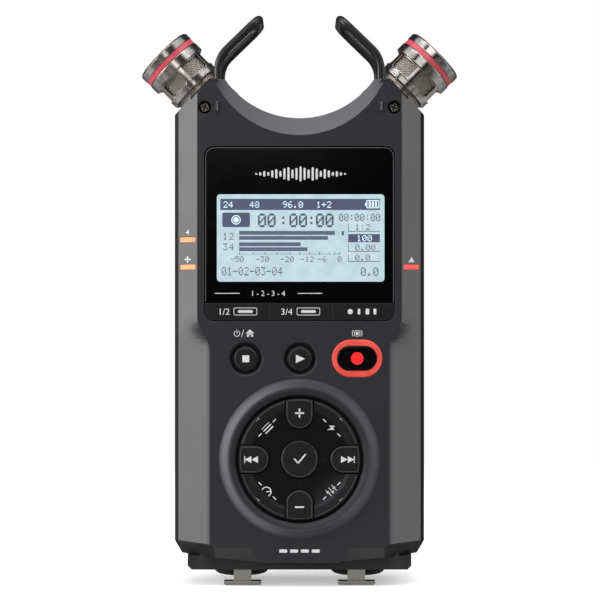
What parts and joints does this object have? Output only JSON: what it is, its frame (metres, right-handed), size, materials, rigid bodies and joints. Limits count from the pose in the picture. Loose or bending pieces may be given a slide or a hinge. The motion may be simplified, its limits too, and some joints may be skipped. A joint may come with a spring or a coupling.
{
  "type": "handheld audio recorder",
  "caption": "Handheld audio recorder with pivoting stereo microphones under wire guards, a display, a round key pad and combo input jacks.",
  "frame": {"origin": "middle of the footprint at the lowest point, the undersides of the two jack release levers", "axes": "+Z along the recorder towards the microphones; the control face looks along -Y; +X is the user's right when facing it"},
  "size_m": [0.0898, 0.035, 0.1599],
  "materials": {
    "casing": "fine matte charcoal",
    "side_casing": "fine matte charcoal",
    "dark_plastic": "matte dark grey",
    "gloss_black": "polished black",
    "lcd": "pale backlit",
    "light_guide": "diffusing white",
    "ring_light": "translucent red",
    "amber_lens": "translucent amber",
    "red_lens": "translucent red",
    "wire": "gloss black",
    "nickel": "dark nickel plate",
    "mesh_metal": "woven wire",
    "ring_red": "satin red",
    "board": "green solder mask",
    "steel": "plated",
    "brass": "machined",
    "cell": "printed sleeve over metal can",
    "key_black": "smooth black"
  },
  "bodies": {
    "housing": {"battery_cells": "cell", "battery_contacts": "steel", "bottom_cap": "dark_plastic", "card_socket": "steel", "casing_screws": "steel", "combo_jack_left": "dark_plastic", "combo_jack_right": "dark_plastic", "display_window": "gloss_black", "front_casing": "casing", "guard_left": "wire", "guard_right": "wire", "key_board": "board", "lcd_backlight": "light_guide", "lcd_panel": "lcd", "main_board": "board", "peak_lamp": "red_lens", "phone_jack": "dark_plastic", "pivot_pins": "steel", "rear_casing": "side_casing", "record_light_ring": "ring_light", "shoulder_screws": "steel", "speaker": "steel", "tact_switches": "steel", "track_lamps": "amber_lens", "tripod_insert": "brass"},
    "mic_left": {"mic_neck_left": "nickel", "mic_basket_left": "nickel", "mic_color_ring_left": "ring_red", "mic_front_ring_left": "nickel", "mic_mesh_left": "mesh_metal", "mic_capsule_left": "brass"},
    "mic_right": {"mic_neck_right": "nickel", "mic_basket_right": "nickel", "mic_color_ring_right": "ring_red", "mic_front_ring_right": "nickel", "mic_mesh_right": "mesh_metal", "mic_capsule_right": "brass"},
    "function_key_1": {"function_key_1": "key_black"},
    "function_key_2": {"function_key_2": "key_black"},
    "function_key_3": {"function_key_3": "key_black"},
    "stop_key": {"stop_key": "key_black"},
    "play_key": {"play_key": "key_black"},
    "record_key": {"record_key": "gloss_black"},
    "plus_key": {"plus_key": "key_black"},
    "minus_key": {"minus_key": "key_black"},
    "rewind_key": {"rewind_key": "key_black"},
    "forward_key": {"forward_key": "key_black"},
    "menu_key": {"menu_key": "key_black"},
    "quick_key": {"quick_key": "key_black"},
    "playback_key": {"playback_key": "key_black"},
    "mixer_key": {"mixer_key": "key_black"},
    "enter_key": {"enter_key": "key_black"},
    "hold_switch": {"hold_switch": "dark_plastic"},
    "input_switch": {"input_switch": "dark_plastic"},
    "latch_left": {"latch_left": "steel"},
    "latch_right": {"latch_right": "steel"},
    "battery_cover": {"battery_cover": "side_casing"},
    "card_door": {"card_door": "side_casing"},
    "level_rocker": {"level_rocker": "dark_plastic"}
  },
  "joints": [
    {"name": "mic_left_swing", "type": "hinge", "parent": "housing", "child": "mic_left", "pos_m": [-0.02285, 0, 0.1336], "axis": [0, 1, 0], "range_deg": [0, 90]},
    {"name": "mic_right_swing", "type": "hinge", "parent": "housing", "child": "mic_right", "pos_m": [0.02285, 0, 0.1336], "axis": [0, -1, 0], "range_deg": [0, 90]},
    {"name": "function_key_1_press", "type": "slide", "parent": "housing", "child": "function_key_1", "axis": [0, 1, 0], "range_m": [0, 0.0003]},
    {"name": "function_key_2_press", "type": "slide", "parent": "housing", "child": "function_key_2", "axis": [0, 1, 0], "range_m": [0, 0.0003]},
    {"name": "function_key_3_press", "type": "slide", "parent": "housing", "child": "function_key_3", "axis": [0, 1, 0], "range_m": [0, 0.0003]},
    {"name": "stop_key_press", "type": "slide", "parent": "housing", "child": "stop_key", "axis": [0, 1, 0], "range_m": [0, 0.0003]},
    {"name": "play_key_press", "type": "slide", "parent": "housing", "child": "play_key", "axis": [0, 1, 0], "range_m": [0, 0.0003]},
    {"name": "record_key_press", "type": "slide", "parent": "housing", "child": "record_key", "axis": [0, 1, 0], "range_m": [0, 0.0003]},
    {"name": "plus_key_press", "type": "slide", "parent": "housing", "child": "plus_key", "axis": [0, 1, 0], "range_m": [0, 0.0003]},
    {"name": "minus_key_press", "type": "slide", "parent": "housing", "child": "minus_key", "axis": [0, 1, 0], "range_m": [0, 0.0003]},
    {"name": "rewind_key_press", "type": "slide", "parent": "housing", "child": "rewind_key", "axis": [0, 1, 0], "range_m": [0, 0.0003]},
    {"name": "forward_key_press", "type": "slide", "parent": "housing", "child": "forward_key", "axis": [0, 1, 0], "range_m": [0, 0.0003]},
    {"name": "menu_key_press", "type": "slide", "parent": "housing", "child": "menu_key", "axis": [0, 1, 0], "range_m": [0, 0.0003]},
    {"name": "quick_key_press", "type": "slide", "parent": "housing", "child": "quick_key", "axis": [0, 1, 0], "range_m": [0, 0.0003]},
    {"name": "playback_key_press", "type": "slide", "parent": "housing", "child": "playback_key", "axis": [0, 1, 0], "range_m": [0, 0.0003]},
    {"name": "mixer_key_press", "type": "slide", "parent": "housing", "child": "mixer_key", "axis": [0, 1, 0], "range_m": [0, 0.0003]},
    {"name": "enter_key_press", "type": "slide", "parent": "housing", "child": "enter_key", "axis": [0, 1, 0], "range_m": [0, 0.0003]},
    {"name": "hold_switch_slide", "type": "slide", "parent": "housing", "child": "hold_switch", "axis": [0, 0, 1], "range_m": [-0.002, 0.002]},
    {"name": "input_switch_slide", "type": "slide", "parent": "housing", "child": "input_switch", "axis": [0, 0, 1], "range_m": [-0.002, 0.002]},
    {"name": "latch_left_press", "type": "slide", "parent": "housing", "child": "latch_left", "axis": [0, 0, 1], "range_m": [0, 0.0015]},
    {"name": "latch_right_press", "type": "slide", "parent": "housing", "child": "latch_right", "axis": [0, 0, 1], "range_m": [0, 0.0015]},
    {"name": "battery_cover_slide", "type": "slide", "parent": "housing", "child": "battery_cover", "axis": [0, 0, -1], "range_m": [0, 0.014]},
    {"name": "card_door_hinge", "type": "hinge", "parent": "housing", "child": "card_door", "pos_m": [0.034, 0.004, 0.03975], "axis": [0, 1, 0], "range_deg": [0, 100]},
    {"name": "level_rocker_tilt", "type": "hinge", "parent": "housing", "child": "level_rocker", "pos_m": [0.034, 0.004, 0.08325], "axis": [0, 1, 0], "range_deg": [-1.5, 1.5]}
  ]
}
